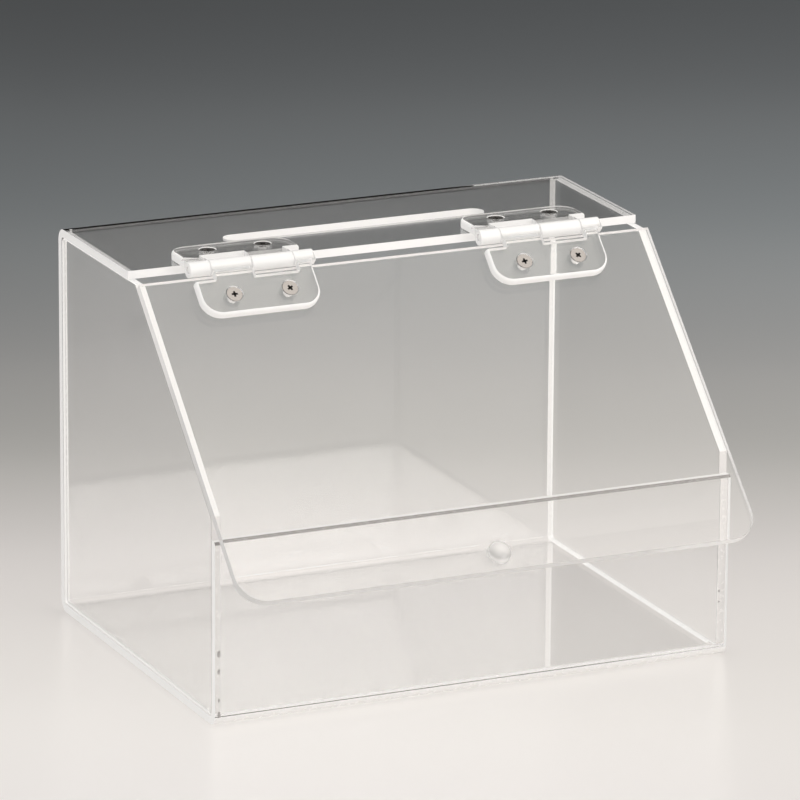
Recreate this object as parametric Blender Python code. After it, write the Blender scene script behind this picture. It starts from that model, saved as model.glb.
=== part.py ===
"""Clear acrylic tip box with a sloping lid on two clear hinges.

One heat-bent sheet makes the front, the bottom, the back and the top. Two flat side panels
stand inside it, flush with its ends. The lid lies on the sloping edges of the side panels and
turns on two hinges. Each hinge is a pair of leaves whose knuckles interlock round a pin, held by
four countersunk screws. A small clear knob is glued to the lid.

Sizes are in metres. The origin is the middle of the base, +X is to the right as seen from the
front, -Y is the front and +Z is up.
"""

from math import atan2, cos, hypot, pi, radians, sin, sqrt, tan

import bmesh
import bpy
from mathutils import Matrix, Vector

# Box
box_width = 0.20955
box_depth = 0.1524
box_height = 0.1524
sheet_thickness = 0.003175
inside_bend_radius = 0.0018
top_depth = 0.07
front_height = 0.0708

# The lid's inner face lies on a line from the level of the top's underside, this far in front of
# the back, down to this height on the inner face of the front
slope_setback = 0.077
slope_foot = 0.0794

# Money slot in the top, its centre line measured from the top's front edge
slot_length = 0.10795
slot_width = 0.0086
slot_setback = 0.0292

# Lid
lid_length = 0.13635
lid_corner_radius = 0.011
lid_to_barrel = 0.0005

# Hinges: the inset is from the box's side to the middle of a hinge, reaches are measured from the
# pin's axis. The leaves' plates reach leaf_shift further to the left than to the right.
hinge_length = 0.05
hinge_inset = 0.0454
barrel_diameter = 0.006
leaf_thickness = 0.003175
leaf_reach = 0.022
leaf_width = 0.0478
leaf_shift = 0.00095
leaf_corner_radius = 0.0075
leaf_edge_round = 0.0012
web_reach = 0.0066
notch_reach = 0.007
notch_relief = 0.0005
end_knuckle = 0.0082
knuckle_gap = 0.0003
pin_diameter = 0.0024
pin_chamfer = 0.0003
pin_end_gap = 0.0003

# Screws
screw_spacing = 0.0224
screw_reach = 0.0139
screw_length = 0.00635
screw_sink = 0.0002
head_diameter = 0.0062
shank_diameter = 0.0028
head_rim = 0.0003
tip_chamfer = 0.0004
recess_span = 0.0034
recess_width = 0.001
recess_depth = 0.0014
recess_taper = 0.45

# Knob, its centre measured from the lid's lower edge and from the lid's middle to the right
knob_diameter = 0.009
knob_height = 0.0034
knob_rim = 0.001
knob_setback = 0.0068
knob_shift = -0.001

# Clearance between pieces that touch on the real box
clearance = 0.0003

# Fineness of round shapes
bend_steps = 8
corner_steps = 10
barrel_steps = 27
knob_steps = 36
edge_steps = 3
screw_steps = 24
merge_distance = 0.00001
cut_margin = 0.002

half_width = box_width / 2
half_depth = box_depth / 2
barrel_radius = barrel_diameter / 2
hinge_offset = half_width - hinge_inset

# Ends of the line that the lid's inner face lies on, as (y, z)
slope_top = Vector((half_depth - slope_setback, box_height - sheet_thickness))
slope_bottom = Vector((-half_depth + sheet_thickness, slope_foot))
slope = slope_top - slope_bottom
slope_angle = atan2(slope.y, slope.x)

# The top leaves' seats are level and the lid leaves' seats are parallel to the slope. The pin's
# axis lies where the two seats meet.
seat_rise = sheet_thickness + clearance
axis_y = slope_top.x - seat_rise * (1 - cos(slope_angle)) / sin(slope_angle)
axis_z = slope_top.y + seat_rise


def remove_everything():
    """Empties the scene."""
    for obj in list(bpy.data.objects):
        bpy.data.objects.remove(obj, do_unlink=True)


def material(name, colour, roughness, metallic=0.0, transmission=0.0):
    """Makes a Principled material."""
    made = bpy.data.materials.new(name)
    made.use_nodes = True
    shader = made.node_tree.nodes["Principled BSDF"]
    shader.inputs["Base Color"].default_value = (*colour, 1.0)
    shader.inputs["Roughness"].default_value = roughness
    shader.inputs["Metallic"].default_value = metallic
    shader.inputs["Transmission Weight"].default_value = transmission
    shader.inputs["IOR"].default_value = 1.49
    return made


def clear_acrylic(name):
    """Clear acrylic for one piece."""
    return material(name + "_acrylic", (0.93, 0.95, 0.95), 0.03, transmission=1.0)


def add_object(name, mesh, location=(0, 0, 0), parent=None, finish=None):
    """Links a mesh to the scene as one object."""
    obj = bpy.data.objects.new(name, mesh)
    bpy.context.scene.collection.objects.link(obj)
    obj.location = location
    obj.parent = parent
    if finish:
        mesh.name = name
        mesh.materials.clear()
        mesh.materials.append(finish)
    return obj


def mesh_from(build, name):
    """Turns a bmesh into a mesh with its faces pointing out."""
    bmesh.ops.recalc_face_normals(build, faces=build.faces)
    mesh = bpy.data.meshes.new(name)
    build.to_mesh(mesh)
    build.free()
    return mesh


def smooth(mesh, angle=35):
    """Shades round faces smooth and keeps edges sharper than the angle."""
    mesh.shade_smooth()
    mesh.set_sharp_from_angle(angle=radians(angle))
    return mesh


def rounded_outline(corners, steps):
    """Closed outline from (u, v, radius) corners, with an arc at each corner that has a radius."""
    outline = []
    count = len(corners)
    for index, (u, v, radius) in enumerate(corners):
        corner = Vector((u, v))
        if radius == 0:
            outline.append(corner)
            continue
        before = (Vector(corners[index - 1][:2]) - corner).normalized()
        after = (Vector(corners[(index + 1) % count][:2]) - corner).normalized()
        half_angle = before.angle(after) / 2
        centre = corner + (before + after).normalized() * (radius / sin(half_angle))
        start = corner + before * (radius / tan(half_angle)) - centre
        turn = 1 if before.cross(after) < 0 else -1
        for step in range(steps + 1):
            angle = turn * (pi - 2 * half_angle) * step / steps
            outline.append(centre + Matrix.Rotation(angle, 2) @ start)
    kept = []
    for index, point in enumerate(outline):
        if (point - outline[index - 1]).length > merge_distance:
            kept.append(point)
    return kept


def prism(name, outline, place, low, high, high_scale=1.0):
    """Solid between two copies of an outline. place(u, v, w) gives the point in space."""
    build = bmesh.new()
    lower = [build.verts.new(place(p.x, p.y, low)) for p in outline]
    upper = [build.verts.new(place(p.x * high_scale, p.y * high_scale, high)) for p in outline]
    build.faces.new(lower)
    build.faces.new(upper)
    for index in range(len(outline)):
        build.faces.new((lower[index - 1], lower[index], upper[index], upper[index - 1]))
    return mesh_from(build, name)


def across(u, v, w):
    """Outline in the (y, z) plane, thickness along x."""
    return Vector((w, u, v))


def level(u, v, w):
    """Outline in the (x, y) plane, thickness along z."""
    return Vector((u, v, w))


def turned(name, profile, steps):
    """Solid of revolution about z from (radius, height) points that start and end on the axis."""
    build = bmesh.new()
    rings = []
    for radius, height in profile:
        count = steps if radius > 0 else 1
        ring = []
        for step in range(count):
            angle = 2 * pi * step / steps
            ring.append(build.verts.new((radius * cos(angle), radius * sin(angle), height)))
        rings.append(ring)
    for lower, upper in zip(rings, rings[1:]):
        for step in range(steps):
            nxt = step + 1
            loop = [lower[step % len(lower)], lower[nxt % len(lower)]]
            loop += [upper[nxt % len(upper)], upper[step % len(upper)]]
            build.faces.new(list(dict.fromkeys(loop)))
    return mesh_from(build, name)


def rod(name, radius, length, chamfer=0.0):
    """Round rod along x, centred on the origin."""
    half = length / 2
    profile = [(0, -half), (radius - chamfer, -half), (radius, -half + chamfer)]
    profile += [(radius, half - chamfer), (radius - chamfer, half), (0, half)]
    if chamfer == 0:
        profile = [(0, -half), (radius, -half), (radius, half), (0, half)]
    mesh = turned(name, profile, screw_steps)
    mesh.transform(Matrix.Rotation(pi / 2, 4, "Y"))
    return mesh


def block(name, low, high):
    """Box between two corners."""
    outline = [(low[0], low[1]), (high[0], low[1]), (high[0], high[1]), (low[0], high[1])]
    return prism(name, [Vector(point) for point in outline], level, low[2], high[2])


def carved(mesh, cutters):
    """Cuts (mesh, location) cutters out of a mesh and gives the result as a new mesh."""
    body = add_object("body", mesh)
    tools = []
    for cutter, location in cutters:
        tool = add_object("cutter", cutter, location)
        tool.hide_render = True
        tool.display_type = "WIRE"
        modifier = body.modifiers.new("cut", "BOOLEAN")
        modifier.operation = "DIFFERENCE"
        modifier.solver = "EXACT"
        modifier.object = tool
        tools.append(tool)
    graph = bpy.context.evaluated_depsgraph_get()
    result = bpy.data.meshes.new_from_object(body.evaluated_get(graph))
    for obj in [body, *tools]:
        bpy.data.objects.remove(obj, do_unlink=True)
    return result


def screw_hole_places(seat_x, seat_y):
    """Centres of the four holes for one row of leaves, mirrored about the middle of the box."""
    places = []
    for side in (-1, 1):
        for x in (-screw_spacing / 2, screw_spacing / 2):
            places.append((side * seat_x + x, seat_y))
    return places


def screw_hole(name):
    """Clearance hole for a screw, long enough to pass through a sheet either side of the origin."""
    length = 2 * (sheet_thickness + clearance + cut_margin)
    mesh = rod(name, shank_diameter / 2 + clearance, length)
    mesh.transform(Matrix.Rotation(pi / 2, 4, "Y"))
    return mesh


def wrap_mesh():
    """Bent sheet: front, bottom, back and top in one section, with the slot and the screw holes."""
    inner = inside_bend_radius
    outer = inside_bend_radius + sheet_thickness
    front, back = -half_depth, half_depth
    top_edge = half_depth - top_depth
    underside = box_height - sheet_thickness
    section = [
        (front, front_height, 0),
        (front, 0, outer),
        (back, 0, outer),
        (back, box_height, outer),
        (top_edge, box_height, 0),
        (top_edge, underside, 0),
        (back - sheet_thickness, underside, inner),
        (back - sheet_thickness, sheet_thickness, inner),
        (front + sheet_thickness, sheet_thickness, inner),
        (front + sheet_thickness, front_height, 0),
    ]
    sheet = prism("wrap", rounded_outline(section, bend_steps), across, -half_width, half_width)
    length, end = slot_length / 2, slot_width / 2
    stadium = [(-length, -end, end), (length, -end, end), (length, end, end), (-length, end, end)]
    outline = rounded_outline(stadium, corner_steps)
    slot = prism("slot", outline, level, -sheet_thickness - cut_margin, cut_margin)
    cutters = [(slot, (0, top_edge + slot_setback, box_height))]
    hole = screw_hole("screw_hole")
    for x, y in screw_hole_places(hinge_offset, axis_y + screw_reach):
        cutters.append((hole, (x, y, box_height)))
    return smooth(carved(sheet, cutters))


def side_mesh(side):
    """Flat side panel, standing inside the bends of the wrap."""
    seat = sheet_thickness + clearance
    front, back = -half_depth + seat, half_depth - seat
    low, high = seat, box_height - seat
    fall = clearance / cos(slope_angle)
    grade = tan(slope_angle)
    slope_start = slope_top.x - (slope_top.y - fall - high) / grade
    slope_end = slope_top.y - fall - (slope_top.x - front) * grade
    corners = [
        (front, low, inside_bend_radius),
        (back, low, inside_bend_radius),
        (back, high, inside_bend_radius),
        (slope_start, high, 0),
        (front, slope_end, 0),
    ]
    outer, inner = side * half_width, side * (half_width - sheet_thickness)
    outline = rounded_outline(corners, bend_steps)
    return prism("side_panel", outline, across, min(outer, inner), max(outer, inner))


def lid_mesh():
    """Flat lid in the frame of the hinges' axis: +y runs down the slope and +z out of the box."""
    near = barrel_radius + lid_to_barrel
    far = near + lid_length
    corners = [
        (-half_width, near, 0),
        (half_width, near, 0),
        (half_width, far, lid_corner_radius),
        (-half_width, far, lid_corner_radius),
    ]
    outline = rounded_outline(corners, corner_steps)
    panel = prism("lid", outline, level, -seat_rise, -clearance)
    hole = screw_hole("screw_hole")
    cutters = [(hole, (x, y, 0)) for x, y in screw_hole_places(hinge_offset, screw_reach)]
    return smooth(carved(panel, cutters))


def leaf_section():
    """Section of a leaf: a level plate whose web slopes down to a barrel on the pin's axis."""
    points = [Vector((leaf_reach, 0)), Vector((leaf_reach, leaf_thickness))]
    points.append(Vector((web_reach, leaf_thickness)))
    distance = points[-1].length
    start = atan2(leaf_thickness, web_reach) + acos_ratio(barrel_radius, distance)
    for step in range(barrel_steps + 1):
        angle = start + (2 * pi - start) * step / barrel_steps
        points.append(Vector((barrel_radius * cos(angle), barrel_radius * sin(angle))))
    return points


def acos_ratio(near, far):
    """Angle at the centre of a circle of radius near between a point at far and its tangent point."""
    return atan2(sqrt(far * far - near * near), near)


def leaf_mesh(shift):
    """Hinge leaf in the frame of the pin's axis: +y to its outer edge, +z out of its seat.

    Its plate is moved along the axis by the shift. The section is run along the whole hinge. The
    gaps for the other leaf's knuckles, the ends of the plate, the bore and the countersunk holes
    are then cut out of it.
    """
    half = hinge_length / 2
    bar = prism("leaf", leaf_section(), across, -half, half)
    low, high = -barrel_diameter, leaf_thickness + cut_margin
    cutters = []
    for start, end in ((-half + end_knuckle, 0), (half - end_knuckle, half + cut_margin)):
        near, far = start - knuckle_gap / 2, end + knuckle_gap / 2
        gap = block("gap", (near, -barrel_diameter, low), (far, notch_reach, high))
        relief_low = (near - notch_relief, barrel_radius + clearance, low)
        relief = block("relief", relief_low, (far + notch_relief, notch_reach, high))
        cutters += [(gap, (0, 0, 0)), (relief, (0, 0, 0))]
    for side in (-1, 1):
        cutters.append((plate_end(side, low, high), (shift, 0, 0)))
    cutters.append((rod("bore", pin_diameter / 2 + clearance, hinge_length + 2 * cut_margin), (0, 0, 0)))
    for x in (-screw_spacing / 2, screw_spacing / 2):
        cutters.append((countersink("countersink"), (x, screw_reach, 0)))
    return smooth(edge_rounded(carved(bar, cutters)))


def edge_rounded(mesh):
    """Rounds the upper outer edge of a leaf's plate: its two ends, its corners and its long edge."""
    build = bmesh.new()
    build.from_mesh(mesh)
    outer = []
    for edge in build.edges:
        middle = (edge.verts[0].co + edge.verts[1].co) / 2
        normals = [face.normal for face in edge.link_faces]
        side = min(normals, key=lambda normal: abs(normal.z))
        at_top = abs(middle.z - leaf_thickness) < merge_distance and max(n.z for n in normals) > 0.9
        in_hole = hypot(abs(middle.x) - screw_spacing / 2, middle.y - screw_reach) < head_diameter
        if at_top and abs(side.z) < 0.5 and side.y > -0.5 and not in_hole:
            if middle.y > notch_reach or abs(side.x) < 0.5:
                outer.append(edge)
    bmesh.ops.bevel(
        build, geom=outer, offset=leaf_edge_round, segments=edge_steps, profile=0.5, affect="EDGES"
    )
    return mesh_from(build, mesh.name)


def plate_end(side, low, high):
    """Cutter for what lies outside one end of a leaf's plate and its rounded outer corner."""
    edge = side * leaf_width / 2
    outside = side * (hinge_length / 2 + cut_margin)
    radius = leaf_corner_radius
    centre = Vector((edge - side * radius, leaf_reach - radius))
    start = barrel_radius + clearance
    reach = leaf_reach + cut_margin
    outline = [Vector((outside, start)), Vector((edge, start))]
    for step in range(corner_steps + 1):
        angle = pi / 2 * step / corner_steps
        outline.append(centre + Vector((side * radius * cos(angle), radius * sin(angle))))
    outline += [Vector((centre.x, reach)), Vector((outside, reach))]
    return prism("plate_end", outline, level, low, high)


def countersink(name):
    """Cutter for a countersunk hole, its origin on the leaf's seat, clear of the screw all round."""
    hole = shank_diameter / 2 + clearance
    face = leaf_thickness - screw_sink
    rim = head_diameter / 2 + clearance
    rim_foot = face - head_rim
    profile = [
        (0, -cut_margin),
        (hole, -cut_margin),
        (hole, rim_foot - (rim - hole)),
        (rim, rim_foot),
        (rim, leaf_thickness + cut_margin),
        (0, leaf_thickness + cut_margin),
    ]
    return turned(name, profile, screw_steps)


def screw_mesh():
    """Countersunk screw with a cross recess, its origin at the middle of the head's face."""
    head, shank = head_diameter / 2, shank_diameter / 2
    profile = [
        (0, -screw_length),
        (shank - tip_chamfer, -screw_length),
        (shank, -screw_length + tip_chamfer),
        (shank, -head_rim - (head - shank)),
        (head, -head_rim),
        (head, 0),
        (0, 0),
    ]
    body = turned("screw", profile, screw_steps)
    arm, half = recess_span / 2, recess_width / 2
    cross = [(arm, half), (half, half), (half, arm), (-half, arm), (-half, half), (-arm, half)]
    cross += [(-u, -v) for u, v in cross]
    outline = [Vector(point) for point in cross]
    floor = prism("recess", outline, level, 0, -recess_depth, recess_taper)
    mouth = prism("mouth", outline, level, -merge_distance, cut_margin)
    return smooth(carved(body, [(floor, (0, 0, 0)), (mouth, (0, 0, 0))]))


def knob_mesh():
    """Low button with a straight rim under a dome, its origin on its seat."""
    profile = [(0, 0), (knob_diameter / 2, 0)]
    for step in range(corner_steps):
        angle = pi / 2 * step / corner_steps
        profile.append((knob_diameter / 2 * cos(angle), knob_rim + (knob_height - knob_rim) * sin(angle)))
    profile.append((0, knob_height))
    return smooth(turned("knob", profile, knob_steps))


def build():
    """Makes every piece of the box."""
    remove_everything()
    lid_axis = bpy.data.objects.new("lid_axis", None)
    bpy.context.scene.collection.objects.link(lid_axis)
    lid_axis.location = (0, axis_y, axis_z)
    lid_axis.rotation_euler = (-slope_angle, 0, pi)

    add_object("wrap_shell", wrap_mesh(), finish=clear_acrylic("wrap"))
    add_object("side_panel_left", side_mesh(-1), finish=clear_acrylic("side_left"))
    add_object("side_panel_right", side_mesh(1), finish=clear_acrylic("side_right"))
    add_object("lid", lid_mesh(), parent=lid_axis, finish=clear_acrylic("lid"))

    top_leaf, lid_leaf, screw = leaf_mesh(-leaf_shift), leaf_mesh(leaf_shift), screw_mesh()
    pin = smooth(rod("pin", pin_diameter / 2, hinge_length - 2 * pin_end_gap, pin_chamfer))
    steel = ((0.72, 0.7, 0.66), 0.28, 1.0)
    for side_name, side in (("left", -1), ("right", 1)):
        hinge_x = side * hinge_offset
        hinge = "hinge_" + side_name
        axis = (hinge_x, axis_y, axis_z)
        name = hinge + "_top_leaf"
        add_object(name, top_leaf.copy(), axis, finish=clear_acrylic(name))
        name = hinge + "_lid_leaf"
        add_object(name, lid_leaf.copy(), (-hinge_x, 0, 0), lid_axis, clear_acrylic(name))
        pin_finish = material(hinge + "_pin_plastic", (0.9, 0.9, 0.88), 0.3)
        add_object(hinge + "_pin", pin.copy(), axis, finish=pin_finish)
        for number, x in enumerate((-screw_spacing / 2, screw_spacing / 2), start=1):
            name = f"{hinge}_top_screw_{number}"
            place = (hinge_x + x, axis_y + screw_reach, axis_z + leaf_thickness - screw_sink)
            add_object(name, screw.copy(), place, finish=material(name + "_steel", *steel))
            name = f"{hinge}_lid_screw_{number}"
            place = (-hinge_x - x, screw_reach, leaf_thickness - screw_sink)
            add_object(name, screw.copy(), place, lid_axis, material(name + "_steel", *steel))

    knob_y = barrel_radius + lid_to_barrel + lid_length - knob_setback
    knob_place = (-knob_shift, knob_y, 0)
    add_object("lid_knob", knob_mesh(), knob_place, lid_axis, clear_acrylic("lid_knob"))


build()
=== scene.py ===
"""Clear acrylic tip box: the looks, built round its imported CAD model.

Every piece of the CAD model is remade here with finer bends, broken edges and its own material.
Sizes are in metres, in the CAD model's frame: the base's middle is the origin, -Y is the front.
"""

from math import acos, atan2, cos, hypot, pi, radians, sin, tan

import bmesh
import bpy
from mathutils import Matrix, Vector


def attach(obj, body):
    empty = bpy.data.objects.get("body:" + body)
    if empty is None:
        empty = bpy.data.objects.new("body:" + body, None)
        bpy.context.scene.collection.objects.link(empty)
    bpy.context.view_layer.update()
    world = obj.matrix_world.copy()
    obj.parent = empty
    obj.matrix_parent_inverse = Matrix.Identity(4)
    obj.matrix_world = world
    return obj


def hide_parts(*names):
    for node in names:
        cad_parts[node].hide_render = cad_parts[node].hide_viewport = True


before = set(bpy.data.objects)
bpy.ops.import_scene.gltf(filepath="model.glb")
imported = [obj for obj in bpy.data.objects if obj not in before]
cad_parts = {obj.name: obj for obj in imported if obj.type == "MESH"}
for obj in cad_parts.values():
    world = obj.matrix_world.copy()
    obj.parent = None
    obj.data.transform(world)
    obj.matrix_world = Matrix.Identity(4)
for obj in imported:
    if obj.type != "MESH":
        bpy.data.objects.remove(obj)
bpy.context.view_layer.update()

# Box
box_width = 0.20955
box_depth = 0.1524
box_height = 0.1524
thickness = 0.003175
inner_bend = 0.0018
top_depth = 0.07
front_height = 0.0708
front_edge_round = 0.001
slope_setback = 0.077
slope_foot = 0.0794
slot_length = 0.10795
slot_width = 0.0086
slot_setback = 0.0292

# Lid
lid_length = 0.13635
lid_corner_radius = 0.011
lid_to_barrel = 0.0005

# Hinges
hinge_length = 0.05
hinge_inset = 0.0454
barrel_diameter = 0.006
leaf_thickness = 0.003175
leaf_reach = 0.022
leaf_width = 0.0478
leaf_shift = 0.00095
leaf_corner_radius = 0.0075
leaf_edge_round = 0.0012
web_reach = 0.0066
notch_reach = 0.007
notch_relief = 0.0005
end_knuckle = 0.0082
knuckle_gap = 0.0003
pin_diameter = 0.0024
pin_chamfer = 0.0003
pin_end_gap = 0.0003

# Screws
screw_spacing = 0.0224
screw_reach = 0.0139
screw_length = 0.00635
screw_sink = 0.0002
head_diameter = 0.0062
head_rim = 0.0003
head_edge = 0.0001
shank_diameter = 0.0028
tip_chamfer = 0.0004
thread_start = 0.0002
thread_turns = 6
thread_pitch = 0.0006
thread_depth = 0.00018
cross_reach = 0.0012
cross_half_width = 0.0004
cross_depth = 0.0014
cross_foot_scale = 0.45

# Angle at which a screw stops, in degrees: a first angle, and what its number and its side add
spin_first = 17
spin_by_number = 31
spin_by_side = 50

# Knob
knob_diameter = 0.009
knob_height = 0.0034
knob_rim = 0.001
knob_setback = 0.0068
knob_shift = -0.001

# Gaps, broken edges, and how far a cutter stands out of what it cuts
clearance = 0.0003
broken_edge = 0.00018
cut_margin = 0.002
merge_distance = 0.00001

# Cement: a bead with a concave face, and bubbles as (height, half width, half height)
bead_size = 0.0011
bead_middle = 0.42 * bead_size
bead_gap = 0.00005
bead_start = 3 * thickness
marks_left = [
    (0.0274, 0.0007, 0.0014),
    (0.0205, 0.0006, 0.0011),
    (0.0095, 0.0004, 0.0008),
    (0.004, 0.0006, 0.0012),
]
marks_right = [(0.0254, 0.0004, 0.0006), (0.0212, 0.0004, 0.0004)]
mark_inset = 0.75 * thickness
mark_half_depth = clearance / 3

# Steps of an arc or a circle
bend_steps = 16
corner_steps = 16
barrel_steps = 48
round_steps = 48
hole_steps = 32
screw_steps = 36
edge_round_steps = 6

# Angles between faces, in degrees, above which an edge is broken or stays sharp
bevel_angle = 35
leaf_bevel_angle = 40
sheet_sharp_angle = 50
small_sharp_angle = 30

# Least share of a normal along an axis, for a face that faces it, leans to it or is tilted to it,
# and for the level faces of a leaf
facing = 0.9
leaning = 0.5
tilted = 0.3
plate_level = 0.98

# Upright shares of the normals of the frosted part of the bend at the front's foot
foot_bend_range = (-0.97, -0.25)

# Worked out from the sizes above
half_width = box_width / 2
half_depth = box_depth / 2
barrel_radius = barrel_diameter / 2
hinge_offset = half_width - hinge_inset
top_edge = half_depth - top_depth
underside = box_height - thickness
slope_top = Vector((half_depth - slope_setback, underside))
slope_bottom = Vector((-half_depth + thickness, slope_foot))
slope_angle = atan2(slope_top.y - slope_bottom.y, slope_top.x - slope_bottom.x)
seat_rise = thickness + clearance
axis_y = slope_top.x - seat_rise * (1 - cos(slope_angle)) / sin(slope_angle)
axis_z = slope_top.y + seat_rise
lid_frame = Matrix.Translation((0, axis_y, axis_z)) @ Matrix.Rotation(pi, 4, "Z")
lid_frame = lid_frame @ Matrix.Rotation(-slope_angle, 4, "X")
top_frame = Matrix.Translation((0, axis_y, axis_z))


# Materials
acrylic_ior = 1.49
plastic_grain = 600
metal_grain = 900
wave_height = 0.0005


def new_material(name):
    """A material with its node tree cleared."""
    made = bpy.data.materials.new(name)
    made.use_nodes = True
    made.node_tree.nodes.clear()
    return made


def noise(tree, scale, detail=3.0):
    """Noise in object coordinates."""
    place = tree.nodes.new("ShaderNodeTexCoord")
    made = tree.nodes.new("ShaderNodeTexNoise")
    made.inputs["Scale"].default_value = scale
    made.inputs["Detail"].default_value = detail
    tree.links.new(place.outputs["Object"], made.inputs["Vector"])
    return made.outputs["Fac"]


def map_range(tree, value, low, high, start=0.3, end=0.7):
    """Maps a value from start and end to low and high. A noise mostly lies from 0.3 to 0.7."""
    made = tree.nodes.new("ShaderNodeMapRange")
    made.inputs["From Min"].default_value = start
    made.inputs["From Max"].default_value = end
    made.inputs["To Min"].default_value = low
    made.inputs["To Max"].default_value = high
    tree.links.new(value, made.inputs["Value"])
    return made.outputs["Result"]


def bump(tree, value, strength, distance):
    """Bump from a value."""
    made = tree.nodes.new("ShaderNodeBump")
    made.inputs["Strength"].default_value = strength
    made.inputs["Distance"].default_value = distance
    tree.links.new(value, made.inputs["Height"])
    return made.outputs["Normal"]


def plastic(name, colour, rough, frost=0.0, waviness=0.0, let_through=1.0):
    """Clear plastic. frost is the share that scatters, as on a sawn or moulded face.

    Shadow rays and diffuse rays pass, so that what is behind the plastic is lit.
    """
    made = new_material(name)
    tree = made.node_tree
    surface = tree.nodes.new("ShaderNodeBsdfPrincipled")
    surface.inputs["Base Color"].default_value = (*colour, 1)
    surface.inputs["IOR"].default_value = acrylic_ior
    surface.inputs["Transmission Weight"].default_value = 1 - frost
    surface.inputs["Specular IOR Level"].default_value = 0.1 if frost > 0.5 else 0.5
    fine = noise(tree, plastic_grain)
    tree.links.new(map_range(tree, fine, rough[0], rough[1]), surface.inputs["Roughness"])
    if waviness:
        broad = noise(tree, plastic_grain / 10, 2.0)
        tree.links.new(bump(tree, broad, waviness, wave_height), surface.inputs["Normal"])
    passing = tree.nodes.new("ShaderNodeBsdfTransparent")
    passing.inputs["Color"].default_value = (let_through, let_through, let_through, 1)
    path = tree.nodes.new("ShaderNodeLightPath")
    either = tree.nodes.new("ShaderNodeMath")
    either.operation = "MAXIMUM"
    tree.links.new(path.outputs["Is Shadow Ray"], either.inputs[0])
    tree.links.new(path.outputs["Is Diffuse Ray"], either.inputs[1])
    mix = tree.nodes.new("ShaderNodeMixShader")
    tree.links.new(either.outputs[0], mix.inputs["Fac"])
    tree.links.new(surface.outputs[0], mix.inputs[1])
    tree.links.new(passing.outputs[0], mix.inputs[2])
    out = tree.nodes.new("ShaderNodeOutputMaterial")
    tree.links.new(mix.outputs[0], out.inputs["Surface"])
    return made


def metal(name, colour, rough):
    """Steel whose gloss varies finely."""
    made = new_material(name)
    tree = made.node_tree
    surface = tree.nodes.new("ShaderNodeBsdfPrincipled")
    surface.inputs["Base Color"].default_value = (*colour, 1)
    surface.inputs["Metallic"].default_value = 1
    fine = noise(tree, metal_grain)
    tree.links.new(map_range(tree, fine, rough[0], rough[1]), surface.inputs["Roughness"])
    out = tree.nodes.new("ShaderNodeOutputMaterial")
    tree.links.new(surface.outputs[0], out.inputs["Surface"])
    return made


acrylic = plastic("acrylic_clear", (0.998, 0.998, 0.997), (0.0, 0.004))
edge_finish = plastic("acrylic_edge", (0.99, 0.985, 0.975), (0.3, 0.4), frost=0.96, let_through=0.8)
sawn_finish = plastic("acrylic_sawn", (0.86, 0.85, 0.835), (0.3, 0.4), frost=0.8, let_through=0.8)
seam_finish = plastic("acrylic_seam", (0.985, 0.98, 0.97), (0.25, 0.35), frost=0.95, let_through=0.8)
bend_finish = plastic("acrylic_bend", (0.92, 0.91, 0.9), (0.2, 0.3), frost=0.95)
bead_finish = plastic("cement_bead", (0.95, 0.94, 0.925), (0.2, 0.3), frost=0.95)
# Dark grey on the front's rounded top edge is a painted reflection: it stands in for the dark room
# seen in that polished edge.
painted_reflection_line = plastic("acrylic_painted_dark_reflection", (0.24, 0.228, 0.22), (0.2, 0.3), frost=0.8)
lid_edge_finish = plastic("acrylic_lid_edge", (0.95, 0.94, 0.93), (0.15, 0.25), frost=0.75)
glued_finish = plastic("acrylic_glued", (0.74, 0.72, 0.705), (0.2, 0.3), frost=0.9)
mark_finish = plastic("cement_mark", (0.4, 0.38, 0.37), (0.2, 0.3), frost=0.8)
hinge_finish = plastic("hinge_plastic", (0.97, 0.975, 0.97), (0.02, 0.06), waviness=0.15)
barrel_finish = plastic("hinge_barrel", (0.97, 0.965, 0.955), (0.15, 0.25), frost=0.8)
pin_finish = plastic("pin_plastic", (0.9, 0.9, 0.88), (0.3, 0.45), frost=0.9, let_through=0.5)
knob_finish = plastic("knob_acrylic", (0.94, 0.93, 0.915), (0.06, 0.12), frost=0.32)
steel = metal("screw_steel", (0.35, 0.335, 0.323), (0.2, 0.3))
# The cross recesses take a darker copy of the steel: painted shade in the recess.
recess_painted_shade = metal("screw_recess_painted_shade", (0.12, 0.11, 0.1), (0.35, 0.5))


# Meshes

def rounded_outline(corners, steps):
    """Closed outline from (u, v, radius) corners, with an arc at each corner that has a radius."""
    outline = []
    count = len(corners)
    for index, (u, v, radius) in enumerate(corners):
        corner = Vector((u, v))
        if radius == 0:
            outline.append(corner)
            continue
        before = (Vector(corners[index - 1][:2]) - corner).normalized()
        after = (Vector(corners[(index + 1) % count][:2]) - corner).normalized()
        half_angle = before.angle(after) / 2
        centre = corner + (before + after).normalized() * (radius / sin(half_angle))
        start = corner + before * (radius / tan(half_angle)) - centre
        turn = 1 if before.cross(after) < 0 else -1
        for step in range(steps + 1):
            angle = turn * (pi - 2 * half_angle) * step / steps
            outline.append(centre + Matrix.Rotation(angle, 2) @ start)
    kept = []
    for index, point in enumerate(outline):
        if (point - outline[index - 1]).length > merge_distance:
            kept.append(point)
    return kept


def mesh_from(build, name):
    """Turns a bmesh into a mesh with its faces pointing out."""
    bmesh.ops.recalc_face_normals(build, faces=build.faces)
    mesh = bpy.data.meshes.new(name)
    build.to_mesh(mesh)
    build.free()
    return mesh


def prism(name, outline, place, low, high, high_scale=1.0):
    """Solid between two copies of an outline. place(u, v, w) gives the point in space."""
    build = bmesh.new()
    lower = [build.verts.new(place(p.x, p.y, low)) for p in outline]
    upper = [build.verts.new(place(p.x * high_scale, p.y * high_scale, high)) for p in outline]
    build.faces.new(lower)
    build.faces.new(upper)
    for index in range(len(outline)):
        build.faces.new((lower[index - 1], lower[index], upper[index], upper[index - 1]))
    return mesh_from(build, name)


def across(u, v, w):
    """Outline in the (y, z) plane, thickness along x."""
    return Vector((w, u, v))


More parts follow.
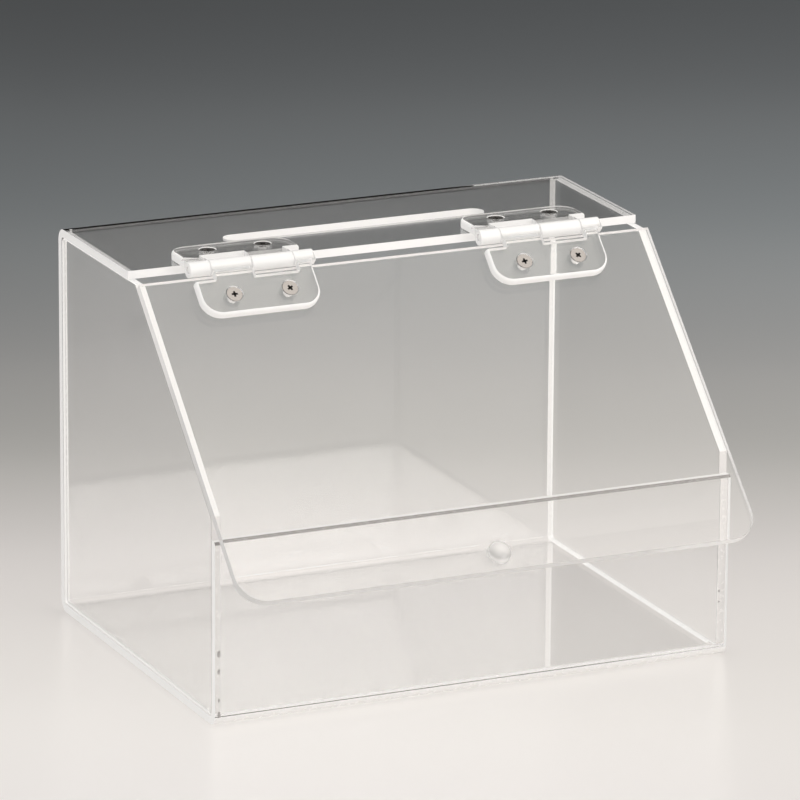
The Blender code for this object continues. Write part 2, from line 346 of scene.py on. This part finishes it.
def level(u, v, w):
    """Outline in the (x, y) plane, thickness along z."""
    return Vector((u, v, w))


def turned(name, profile, steps=round_steps):
    """Solid of revolution about z from (radius, height) points that start and end on the axis."""
    build = bmesh.new()
    rings = []
    for radius, height in profile:
        count = steps if radius > 0 else 1
        ring = []
        for step in range(count):
            angle = 2 * pi * step / steps
            ring.append(build.verts.new((radius * cos(angle), radius * sin(angle), height)))
        rings.append(ring)
    for lower, upper in zip(rings, rings[1:]):
        for step in range(steps):
            loop = [lower[step % len(lower)], lower[(step + 1) % len(lower)]]
            loop += [upper[(step + 1) % len(upper)], upper[step % len(upper)]]
            build.faces.new(list(dict.fromkeys(loop)))
    return mesh_from(build, name)


def along_x(mesh):
    """Turns a mesh made about z so that it lies about x."""
    mesh.transform(Matrix.Rotation(pi / 2, 4, "Y"))
    return mesh


def block(name, low, high):
    """Box between two corners."""
    outline = [(low[0], low[1]), (high[0], low[1]), (high[0], high[1]), (low[0], high[1])]
    return prism(name, [Vector(point) for point in outline], level, low[2], high[2])


def placed(name, mesh, matrix=Matrix.Identity(4)):
    """Links a mesh with its place worked into its points."""
    mesh.transform(matrix)
    mesh.name = name
    made = bpy.data.objects.new(name, mesh)
    bpy.context.scene.collection.objects.link(made)
    return made


def evaluated(obj):
    """The mesh an object's modifiers give. The object is removed."""
    graph = bpy.context.evaluated_depsgraph_get()
    result = bpy.data.meshes.new_from_object(obj.evaluated_get(graph))
    bpy.data.objects.remove(obj, do_unlink=True)
    return result


def carved(mesh, cutters):
    """Cuts (mesh, location) cutters out of a mesh."""
    body = placed("body", mesh)
    tools = []
    for cutter, location in cutters:
        tool = bpy.data.objects.new("cutter", cutter)
        bpy.context.scene.collection.objects.link(tool)
        tool.location = location
        modifier = body.modifiers.new("cut", "BOOLEAN")
        modifier.operation = "DIFFERENCE"
        modifier.solver = "EXACT"
        modifier.object = tool
        tools.append(tool)
    result = evaluated(body)
    for tool in tools:
        bpy.data.objects.remove(tool, do_unlink=True)
    return result


def joined(meshes, finishes):
    """One mesh of several that share their list of finishes."""
    build = bmesh.new()
    for mesh in meshes:
        build.from_mesh(mesh)
    result = bpy.data.meshes.new("joined")
    build.to_mesh(result)
    build.free()
    for finish in finishes:
        result.materials.append(finish)
    return result


def painted(mesh, finishes, choose):
    """Gives each face the one of the finishes that choose(face) returns."""
    mesh.materials.clear()
    for finish in finishes:
        mesh.materials.append(finish)
    for face in mesh.polygons:
        face.material_index = finishes.index(choose(face))
    return mesh


def softened(mesh, angle=bevel_angle):
    """Breaks a mesh's sharp edges."""
    body = placed("body", mesh)
    modifier = body.modifiers.new("edges", "BEVEL")
    modifier.width = broken_edge
    modifier.segments = 2
    modifier.limit_method = "ANGLE"
    modifier.angle_limit = radians(angle)
    modifier.use_clamp_overlap = True
    return smoothed(evaluated(body))


def smoothed(mesh):
    """Shades a mesh smooth between its sharp edges, by the normals of its large faces."""
    mesh.shade_smooth()
    mesh.set_sharp_from_angle(angle=radians(sheet_sharp_angle))
    body = placed("body", mesh)
    modifier = body.modifiers.new("normals", "WEIGHTED_NORMAL")
    modifier.mode = "FACE_AREA"
    modifier.weight = 100
    modifier.keep_sharp = True
    return evaluated(body)


def finished(name, mesh, matrix, body, node_name):
    """Places a piece, ties it to its body and lets it stand for its CAD node."""
    made = placed(name, mesh, matrix)
    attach(made, body)
    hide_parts(node_name)


def hole(radius):
    """Cutter for a round hole through a sheet."""
    depth = thickness + clearance + cut_margin
    return turned("hole", [(0, -depth), (radius, -depth), (radius, depth), (0, depth)], hole_steps)


def hole_places(row):
    """Centres of the four screw holes of one row of leaves."""
    places = []
    for side in (-1, 1):
        for x in (-screw_spacing / 2, screw_spacing / 2):
            places.append((side * hinge_offset + x, row))
    return places


# Box

def make_wrap():
    """Bent sheet: front, bottom, back and top."""
    outer = inner_bend + thickness
    section = [
        (-half_depth, front_height, front_edge_round),
        (-half_depth, 0, outer),
        (half_depth, 0, outer),
        (half_depth, box_height, outer),
        (top_edge, box_height, 0),
        (top_edge, underside, 0),
        (half_depth - thickness, underside, inner_bend),
        (half_depth - thickness, thickness, inner_bend),
        (-half_depth + thickness, thickness, inner_bend),
        (-half_depth + thickness, front_height, 0),
    ]
    sheet = prism("wrap", rounded_outline(section, bend_steps), across, -half_width, half_width)
    length, end = slot_length / 2, slot_width / 2
    stadium = [(-length, -end, end), (length, -end, end), (length, end, end), (-length, end, end)]
    outline = rounded_outline(stadium, corner_steps)
    slot = prism("slot", outline, level, -thickness - cut_margin, cut_margin)
    cutters = [(slot, (0, top_edge + slot_setback, box_height))]
    drill = hole(shank_diameter / 2 + clearance)
    for x, y in hole_places(axis_y + screw_reach):
        cutters.append((drill, (x, y, box_height)))
    mesh = carved(sheet, cutters)

    def choose(face):
        centre, normal = face.center, face.normal
        if abs(normal.x) > facing and abs(centre.x) > half_width - merge_distance:
            return edge_finish
        if underside < centre.z < box_height - merge_distance and abs(normal.z) < leaning:
            if centre.y < half_depth - thickness - outer:
                return edge_finish
        if abs(centre.z - front_height) < merge_distance and centre.y < 0:
            return sawn_finish
        if centre.y < 0 and foot_bend_range[0] < normal.z < foot_bend_range[1]:
            return bend_finish
        # The front's rounded top edge takes a dark grey, a painted dark reflection of the room.
        if centre.y < -half_depth + front_edge_round and centre.z > front_height - front_edge_round:
            return painted_reflection_line
        return acrylic

    finishes = [acrylic, edge_finish, bend_finish, painted_reflection_line, sawn_finish]
    mesh = softened(painted(mesh, finishes, choose))
    finished("wrap", mesh, Matrix.Identity(4), "box", "wrap_shell")


def make_side(name, side):
    """Flat side panel inside the bends of the wrap, with its cement."""
    seat = thickness + clearance
    front, back = -half_depth + seat, half_depth - seat
    low, high = seat, box_height - seat
    fall = clearance / cos(slope_angle)
    grade = tan(slope_angle)
    corners = [
        (front, low, inner_bend),
        (back, low, inner_bend),
        (back, high, inner_bend),
        (slope_top.x - (slope_top.y - fall - high) / grade, high, 0),
        (front, slope_top.y - fall - (slope_top.x - front) * grade, 0),
    ]
    outer, inner = side * half_width, side * (half_width - thickness)
    outline = rounded_outline(corners, bend_steps)
    mesh = prism(name, outline, across, min(outer, inner), max(outer, inner))

    def choose(face):
        if abs(face.normal.x) > leaning:
            return acrylic
        if face.normal.y < -facing:
            return glued_finish
        slanted = face.normal.z > tilted and face.normal.y < -tilted
        return sawn_finish if slanted else seam_finish

    finishes = [acrylic, sawn_finish, seam_finish, bead_finish, mark_finish, glued_finish]
    panel = softened(painted(mesh, finishes, choose))
    bead = painted(bead_mesh(side), finishes, lambda face: bead_finish)
    marks = painted(marks_mesh(side), finishes, lambda face: mark_finish)
    mesh = smoothed(joined([panel, bead, marks], finishes))
    finished(name + "_sheet", mesh, Matrix.Identity(4), "box", name)


def bead_mesh(side):
    """Bead of cement in the corner between a side panel and the bottom and the back."""
    seat = thickness + bead_gap
    back, high = half_depth - seat, box_height - seat
    corners = [
        (-half_depth + bead_start, seat, 0),
        (back, seat, inner_bend),
        (back, high, 0),
        (back - bead_size, high, 0),
    ]
    path = rounded_outline(corners, bend_steps)[:-1]
    section = [(0, 0), (bead_size, 0), (bead_middle, bead_middle), (0, bead_size)]
    wall = half_width - thickness - bead_gap
    build = bmesh.new()
    rings = []
    for index, point in enumerate(path):
        along = path[min(index + 1, len(path) - 1)] - path[max(index - 1, 0)]
        inward = Vector((-along.y, along.x)).normalized()
        ring = []
        for offset, rise in section:
            spot = point + inward * offset
            ring.append(build.verts.new((side * (wall - rise), spot.x, spot.y)))
        rings.append(ring)
    for first, second in zip(rings, rings[1:]):
        for index in range(len(section)):
            build.faces.new((first[index - 1], first[index], second[index], second[index - 1]))
    build.faces.new(rings[0])
    build.faces.new(rings[-1])
    return mesh_from(build, "bead")


def marks_mesh(side):
    """Flat bubbles in the cement between a side panel and the front."""
    build = bmesh.new()
    across_box = side * (half_width - mark_inset)
    in_gap = -half_depth + thickness + clearance / 2
    for height, wide, tall in marks_left if side < 0 else marks_right:
        place = Matrix.Translation((across_box, in_gap, height))
        place = place @ Matrix.Diagonal((wide, mark_half_depth, tall, 1))
        bmesh.ops.create_uvsphere(build, u_segments=16, v_segments=10, radius=1, matrix=place)
    return mesh_from(build, "marks")


def make_lid():
    """Flat lid in the frame of the hinges' axis."""
    near = barrel_radius + lid_to_barrel
    far = near + lid_length
    corners = [
        (-half_width, near, 0),
        (half_width, near, 0),
        (half_width, far, lid_corner_radius),
        (-half_width, far, lid_corner_radius),
    ]
    panel = prism("lid", rounded_outline(corners, corner_steps), level, -seat_rise, -clearance)
    drill = hole(shank_diameter / 2 + clearance)
    mesh = carved(panel, [(drill, (x, y, 0)) for x, y in hole_places(screw_reach)])

    def choose(face):
        return acrylic if abs(face.normal.z) > leaning else lid_edge_finish

    mesh = softened(painted(mesh, [acrylic, lid_edge_finish], choose))
    finished("lid_panel", mesh, lid_frame, "lid", "lid")


def make_knob():
    """Low domed button."""
    profile = [(0, 0), (knob_diameter / 2, 0)]
    for step in range(corner_steps):
        angle = pi / 2 * step / corner_steps
        height = knob_rim + (knob_height - knob_rim) * sin(angle)
        profile.append((knob_diameter / 2 * cos(angle), height))
    profile.append((0, knob_height))
    mesh = softened(painted(turned("knob", profile), [knob_finish], lambda face: knob_finish))
    far = barrel_radius + lid_to_barrel + lid_length
    place = lid_frame @ Matrix.Translation((-knob_shift, far - knob_setback, 0))
    finished("knob", mesh, place, "lid", "lid_knob")


# Hinges

def leaf_section():
    """Section of a leaf: a plate whose web slopes down to a barrel on the pin's axis."""
    points = [Vector((leaf_reach, 0)), Vector((leaf_reach, leaf_thickness))]
    points.append(Vector((web_reach, leaf_thickness)))
    distance = points[-1].length
    start = atan2(leaf_thickness, web_reach) + acos(barrel_radius / distance)
    for step in range(barrel_steps + 1):
        angle = start + (2 * pi - start) * step / barrel_steps
        points.append(Vector((barrel_radius * cos(angle), barrel_radius * sin(angle))))
    return points


def plate_end(side, low, high):
    """Cutter for what lies outside one end of a leaf's plate and its rounded outer corner."""
    edge = side * leaf_width / 2
    outside = side * (hinge_length / 2 + cut_margin)
    radius = leaf_corner_radius
    centre = Vector((edge - side * radius, leaf_reach - radius))
    start = barrel_radius + clearance
    reach = leaf_reach + cut_margin
    outline = [Vector((outside, start)), Vector((edge, start))]
    for step in range(corner_steps + 1):
        angle = pi / 2 * step / corner_steps
        outline.append(centre + Vector((side * radius * cos(angle), radius * sin(angle))))
    outline += [Vector((centre.x, reach)), Vector((outside, reach))]
    return prism("plate_end", outline, level, low, high)


def countersink():
    """Cutter for a countersunk hole, its origin on the leaf's seat."""
    bore = shank_diameter / 2 + clearance
    rim = head_diameter / 2 + clearance
    rim_foot = leaf_thickness - screw_sink - head_rim
    profile = [
        (0, -cut_margin),
        (bore, -cut_margin),
        (bore, rim_foot - (rim - bore)),
        (rim, rim_foot),
        (rim, leaf_thickness + cut_margin),
        (0, leaf_thickness + cut_margin),
    ]
    return turned("countersink", profile, hole_steps)


def leaf_mesh(shift):
    """Hinge leaf in the frame of the pin's axis: +y to its outer edge, +z out of its seat."""
    half = hinge_length / 2
    bar = prism("leaf", leaf_section(), across, -half, half)
    low, high = -barrel_diameter, leaf_thickness + cut_margin
    cutters = []
    for start, end in ((-half + end_knuckle, 0), (half - end_knuckle, half + cut_margin)):
        near, far = start - knuckle_gap / 2, end + knuckle_gap / 2
        gap = block("gap", (near, -barrel_diameter, low), (far, notch_reach, high))
        relief_low = (near - notch_relief, barrel_radius + clearance, low)
        relief = block("relief", relief_low, (far + notch_relief, notch_reach, high))
        cutters += [(gap, (0, 0, 0)), (relief, (0, 0, 0))]
    for side in (-1, 1):
        cutters.append((plate_end(side, low, high), (shift, 0, 0)))
    radius, depth = pin_diameter / 2 + clearance, half + cut_margin
    profile = [(0, -depth), (radius, -depth), (radius, depth), (0, depth)]
    cutters.append((along_x(turned("bore", profile, hole_steps)), (0, 0, 0)))
    for x in (-screw_spacing / 2, screw_spacing / 2):
        cutters.append((countersink(), (x, screw_reach, 0)))
    mesh = edge_rounded(carved(bar, cutters))

    def choose(face):
        centre = face.center
        if hypot(centre.y, centre.z) < barrel_radius + clearance:
            return barrel_finish
        hole_distance = hypot(abs(centre.x) - screw_spacing / 2, centre.y - screw_reach)
        if abs(face.normal.z) < plate_level and hole_distance > head_diameter / 2 + clearance:
            return edge_finish
        return hinge_finish

    finishes = [hinge_finish, barrel_finish, edge_finish]
    return softened(painted(mesh, finishes, choose), leaf_bevel_angle)


def edge_rounded(mesh):
    """Rounds the upper outer edge of a leaf's plate: its two ends, its corners and its long edge."""
    build = bmesh.new()
    build.from_mesh(mesh)
    outer = []
    for edge in build.edges:
        middle = (edge.verts[0].co + edge.verts[1].co) / 2
        normals = [face.normal for face in edge.link_faces]
        side = min(normals, key=lambda normal: abs(normal.z))
        at_top = abs(middle.z - leaf_thickness) < merge_distance
        on_plate = at_top and max(normal.z for normal in normals) > facing
        in_hole = hypot(abs(middle.x) - screw_spacing / 2, middle.y - screw_reach) < head_diameter
        if on_plate and abs(side.z) < leaning and side.y > -leaning and not in_hole:
            if middle.y > notch_reach or abs(side.x) < leaning:
                outer.append(edge)
    bmesh.ops.bevel(
        build,
        geom=outer,
        offset=leaf_edge_round,
        segments=edge_round_steps,
        profile=0.5,
        affect="EDGES",
    )
    return mesh_from(build, mesh.name)


def screw_mesh():
    """Countersunk screw with a cross recess in painted shade, its origin at the middle of the head's
    face.
    """
    head, shank = head_diameter / 2, shank_diameter / 2
    foot = -screw_length + tip_chamfer
    profile = [(0, -screw_length), (shank - tip_chamfer, -screw_length), (shank, foot)]
    start = foot + thread_start
    for index in range(thread_turns):
        crest = start + index * thread_pitch
        profile.append((shank, crest))
        profile.append((shank - thread_depth, crest + thread_pitch / 2))
    profile.append((shank, start + thread_turns * thread_pitch))
    profile += [(shank, -head_rim - (head - shank)), (head, -head_rim)]
    profile += [(head, -head_edge), (head - head_edge, 0), (0, 0)]
    body = turned("screw", profile, screw_steps)
    arm, half = cross_reach, cross_half_width
    cross = [(arm, half), (half, half), (half, arm), (-half, arm), (-half, half), (-arm, half)]
    cross += [(-u, -v) for u, v in cross]
    outline = [Vector(point) for point in cross]
    recess = prism("recess", outline, level, 0, -cross_depth, cross_foot_scale)
    mouth = prism("mouth", outline, level, -merge_distance, cut_margin)
    mesh = carved(body, [(recess, (0, 0, 0)), (mouth, (0, 0, 0))])

    # Faces sunk in the cross recess take the darker steel, a painted shade.
    def choose(face):
        inside = max(abs(face.center.x), abs(face.center.y)) < arm + merge_distance
        sunk = -cross_depth - head_edge < face.center.z < -merge_distance
        return recess_painted_shade if inside and sunk else steel

    mesh = painted(mesh, [steel, recess_painted_shade], choose)
    mesh.shade_smooth()
    mesh.set_sharp_from_angle(angle=radians(small_sharp_angle))
    return mesh


def pin_mesh():
    """Plain pin with chamfered ends, along x."""
    radius, half = pin_diameter / 2, hinge_length / 2 - pin_end_gap
    profile = [(0, -half), (radius - pin_chamfer, -half), (radius, -half + pin_chamfer)]
    profile += [(radius, half - pin_chamfer), (radius - pin_chamfer, half), (0, half)]
    mesh = painted(along_x(turned("pin", profile, hole_steps)), [pin_finish], lambda face: pin_finish)
    mesh.shade_smooth()
    mesh.set_sharp_from_angle(angle=radians(small_sharp_angle))
    return mesh


def make_hinges():
    """Two hinges of two leaves, a pin and four screws each."""
    screw, pin = screw_mesh(), pin_mesh()
    leaves = {"top": leaf_mesh(-leaf_shift), "lid": leaf_mesh(leaf_shift)}
    face = leaf_thickness - screw_sink
    for side_name, side in (("left", -1), ("right", 1)):
        hinge = "hinge_" + side_name
        for leaf_name, home, x in (("top", top_frame, side), ("lid", lid_frame, -side)):
            body = "box" if leaf_name == "top" else "lid"
            name = f"{hinge}_{leaf_name}_leaf"
            place = home @ Matrix.Translation((x * hinge_offset, 0, 0))
            mesh = leaves[leaf_name].copy()
            finished(name + "_moulding", mesh, place, body, name)
            for number, offset in enumerate((-screw_spacing / 2, screw_spacing / 2), start=1):
                offset = offset if leaf_name == "top" else -offset
                name = f"{hinge}_{leaf_name}_screw_{number}"
                stop = radians(spin_first + spin_by_number * number + spin_by_side * side)
                spin = Matrix.Rotation(stop, 4, "Z")
                seat = place @ Matrix.Translation((offset, screw_reach, face)) @ spin
                finished(name + "_turned", screw.copy(), seat, body, name)
        place = top_frame @ Matrix.Translation((side * hinge_offset, 0, 0))
        finished(hinge + "_pin_rod", pin.copy(), place, "box", hinge + "_pin")


# Camera, floor and light
camera_azimuth = radians(-24.507)
camera_elevation = radians(16.354)
camera_roll = radians(0.374)
camera_distance = 2.52997
camera_target = Vector((0.003379, 0, 0.091898))
camera_lens = 300.94
camera_sensor = 36
camera_reach = 50
sight_line = Vector((-sin(camera_azimuth), cos(camera_azimuth), 0))
across_sight = Vector((cos(camera_azimuth), sin(camera_azimuth), 0))


def make_camera():
    """Camera at the photograph's viewing angle, worked out from the box's corners."""
    back = Vector((0, 0, sin(camera_elevation))) - sight_line * cos(camera_elevation)
    up = back.cross(across_sight)
    right_rolled = cos(camera_roll) * across_sight + sin(camera_roll) * up
    up_rolled = cos(camera_roll) * up - sin(camera_roll) * across_sight
    camera = bpy.data.objects.new("camera", bpy.data.cameras.new("camera"))
    bpy.context.scene.collection.objects.link(camera)
    turn = Matrix((right_rolled, up_rolled, back)).transposed()
    place = Matrix.Translation(camera_target + back * camera_distance)
    camera.matrix_world = place @ turn.to_4x4()
    camera.data.sensor_width = camera_sensor
    camera.data.lens = camera_lens
    camera.data.clip_end = camera_reach
    bpy.context.scene.camera = camera


# Floor colour against distance behind the box's middle along the line of sight, in linear light. The
# colour paints the light's fall-off: a pale pool of light at the box, darker behind it
painted_falloff_stops = [
    (-0.2, (0.87, 0.84, 0.82)),
    (-0.08, (0.87, 0.84, 0.81)),
    (0.1, (0.73, 0.7, 0.68)),
    (0.23, (0.49, 0.48, 0.46)),
    (0.38, (0.36, 0.36, 0.355)),
    (0.6, (0.25, 0.268, 0.276)),
    (0.85, (0.163, 0.176, 0.184)),
    (1.1, (0.106, 0.116, 0.123)),
]
floor_half_size = 8
floor_drop = 0.0004
floor_roughness = 0.3
floor_ior = 1.4

# Left of this place the floor has the painted light of a point further forward, by this share of the
# distance past it
far_left = -0.18
far_left_share = 0.7

# The floor's painted brightness changes sideways, as a painted fall-off of the light, up to this
# distance aside. A metre changes it by these shares in front and behind, and the change from one to
# the other lies between these distances
lean_aside = 0.22
lean_front, lean_behind = -0.33, 0.58
lean_start, lean_end = -0.1, 0.5


def arithmetic(tree, operation, first, second):
    """A Math node's value. Each operand is a socket or a number."""
    made = tree.nodes.new("ShaderNodeMath")
    made.operation = operation
    for index, operand in enumerate((first, second)):
        if isinstance(operand, (int, float)):
            made.inputs[index].default_value = operand
        else:
            tree.links.new(operand, made.inputs[index])
    return made.outputs[0]


def distance_along(tree, direction):
    """Distance of a point of the floor from the box's middle in a direction."""
    place = tree.nodes.new("ShaderNodeTexCoord")
    along = tree.nodes.new("ShaderNodeVectorMath")
    along.operation = "DOT_PRODUCT"
    along.inputs[1].default_value = direction
    tree.links.new(place.outputs["Object"], along.inputs[0])
    return along.outputs["Value"]


def make_floor():
    """Floor with a slight gloss, its colour a painted fall-off of the light: pale under the box and
    darker behind it.

    The painted light is also paler at the far left, and behind the box a little lighter to the right.
    """
    build = bmesh.new()
    bmesh.ops.create_grid(build, x_segments=1, y_segments=1, size=floor_half_size)
    lowered = Matrix.Translation((0, 0, -floor_drop))
    floor = placed("floor", mesh_from(build, "floor"), lowered)
    made = new_material("floor_painted_light_falloff")
    tree = made.node_tree
    sideways = distance_along(tree, across_sight)
    past = arithmetic(tree, "MINIMUM", arithmetic(tree, "ADD", sideways, -far_left), 0.0)
    bend = arithmetic(tree, "MULTIPLY", past, far_left_share)
    behind = arithmetic(tree, "ADD", distance_along(tree, sight_line), bend)
    low, high = painted_falloff_stops[0][0], painted_falloff_stops[-1][0]
    ramp = tree.nodes.new("ShaderNodeValToRGB")
    ramp.color_ramp.interpolation = "CARDINAL"
    stops = ramp.color_ramp.elements
    while len(stops) < len(painted_falloff_stops):
        stops.new(0.5)
    for stop, (distance, colour) in zip(stops, painted_falloff_stops):
        stop.position = (distance - low) / (high - low)
        stop.color = (*colour, 1)
    tree.links.new(map_range(tree, behind, 0, 1, low, high), ramp.inputs["Fac"])
    aside = map_range(tree, sideways, -lean_aside, lean_aside, -lean_aside, lean_aside)
    slant = map_range(tree, behind, lean_front, lean_behind, lean_start, lean_end)
    factor = arithmetic(tree, "ADD", arithmetic(tree, "MULTIPLY", aside, slant), 1.0)
    tint = tree.nodes.new("ShaderNodeVectorMath")
    tint.operation = "SCALE"
    tree.links.new(ramp.outputs["Color"], tint.inputs["Vector"])
    tree.links.new(factor, tint.inputs["Scale"])
    surface = tree.nodes.new("ShaderNodeBsdfPrincipled")
    surface.inputs["Roughness"].default_value = floor_roughness
    surface.inputs["IOR"].default_value = floor_ior
    tree.links.new(tint.outputs["Vector"], surface.inputs["Base Color"])
    out = tree.nodes.new("ShaderNodeOutputMaterial")
    tree.links.new(surface.outputs[0], out.inputs["Surface"])
    floor.data.materials.append(made)


def soft_lamp(name, place, target, size, radiance, colour):
    """Rectangular area lamp of a given brightness, turned to a target."""
    lamp = bpy.data.lights.new(name, "AREA")
    lamp.shape = "RECTANGLE"
    lamp.size, lamp.size_y = size
    lamp.energy = radiance * pi * size[0] * size[1]
    lamp.color = colour
    obj = bpy.data.objects.new(name, lamp)
    bpy.context.scene.collection.objects.link(obj)
    obj.location = place
    obj.rotation_euler = (Vector(target) - Vector(place)).to_track_quat("-Z", "Y").to_euler()


# Strength of the room's light, and what it gains towards the left
fill_strength = 0.75
fill_from_left = 0.4

# Room as it is seen and mirrored, against the sine of the height above the horizon, in linear light
room_stops = [
    (0.0, (0.04, 0.04, 0.04)),
    (0.25, (0.04, 0.037, 0.034)),
    (0.33, (0.2, 0.195, 0.19)),
    (0.6, (0.4, 0.4, 0.4)),
    (1.0, (0.4, 0.4, 0.4)),
]


def make_light():
    """Two large soft lamps, overhead and low in front, and a fill a little stronger at the left."""
    soft_lamp(
        "overhead",
        place=(0.38, -0.28, 1.15),
        target=(0, 0, 0.1),
        size=(1.0, 0.9),
        radiance=1.35,
        colour=(1, 0.93, 0.85),
    )
    soft_lamp(
        "front_right",
        place=(0.6, -1.23, 0.46),
        target=(0, 0, 0.05),
        size=(0.7, 0.4),
        radiance=5.4,
        colour=(1, 0.97, 0.94),
    )
    make_room()


def make_room():
    """World: the fill for diffuse rays, and the room's own brightness for all others."""
    world = bpy.data.worlds.new("room")
    bpy.context.scene.world = world
    world.use_nodes = True
    tree = world.node_tree
    tree.nodes.clear()
    fill = tree.nodes.new("ShaderNodeBackground")
    fill.inputs["Color"].default_value = (1, 1, 1, 1)
    place = tree.nodes.new("ShaderNodeTexCoord")
    toward = tree.nodes.new("ShaderNodeVectorMath")
    toward.operation = "DOT_PRODUCT"
    toward.inputs[1].default_value = -across_sight
    tree.links.new(place.outputs["Generated"], toward.inputs[0])
    leftward = arithmetic(tree, "MAXIMUM", toward.outputs["Value"], 0.0)
    extra = arithmetic(tree, "MULTIPLY", leftward, fill_from_left)
    tree.links.new(arithmetic(tree, "ADD", extra, fill_strength), fill.inputs["Strength"])
    seen = tree.nodes.new("ShaderNodeBackground")
    split = tree.nodes.new("ShaderNodeSeparateXYZ")
    tree.links.new(place.outputs["Generated"], split.inputs[0])
    ramp = tree.nodes.new("ShaderNodeValToRGB")
    stops = ramp.color_ramp.elements
    while len(stops) < len(room_stops):
        stops.new(0.5)
    for stop, (height, colour) in zip(stops, room_stops):
        stop.position = height
        stop.color = (*colour, 1)
    tree.links.new(split.outputs["Z"], ramp.inputs["Fac"])
    tree.links.new(ramp.outputs["Color"], seen.inputs["Color"])
    path = tree.nodes.new("ShaderNodeLightPath")
    mix = tree.nodes.new("ShaderNodeMixShader")
    tree.links.new(path.outputs["Is Diffuse Ray"], mix.inputs["Fac"])
    tree.links.new(seen.outputs[0], mix.inputs[1])
    tree.links.new(fill.outputs[0], mix.inputs[2])
    out = tree.nodes.new("ShaderNodeOutputWorld")
    tree.links.new(mix.outputs[0], out.inputs["Surface"])


clear_bounces = 48
glossy_bounces = 24


def build():
    """Makes the pieces, the camera, the floor and the light. Clear sheets need many bounces."""
    make_wrap()
    make_side("side_panel_left", -1)
    make_side("side_panel_right", 1)
    make_lid()
    make_knob()
    make_hinges()
    make_camera()
    make_floor()
    make_light()
    scene = bpy.context.scene
    scene.view_settings.view_transform = "Standard"
    scene.cycles.max_bounces = clear_bounces
    scene.cycles.transmission_bounces = clear_bounces
    scene.cycles.glossy_bounces = glossy_bounces
    scene.cycles.transparent_max_bounces = clear_bounces


build()
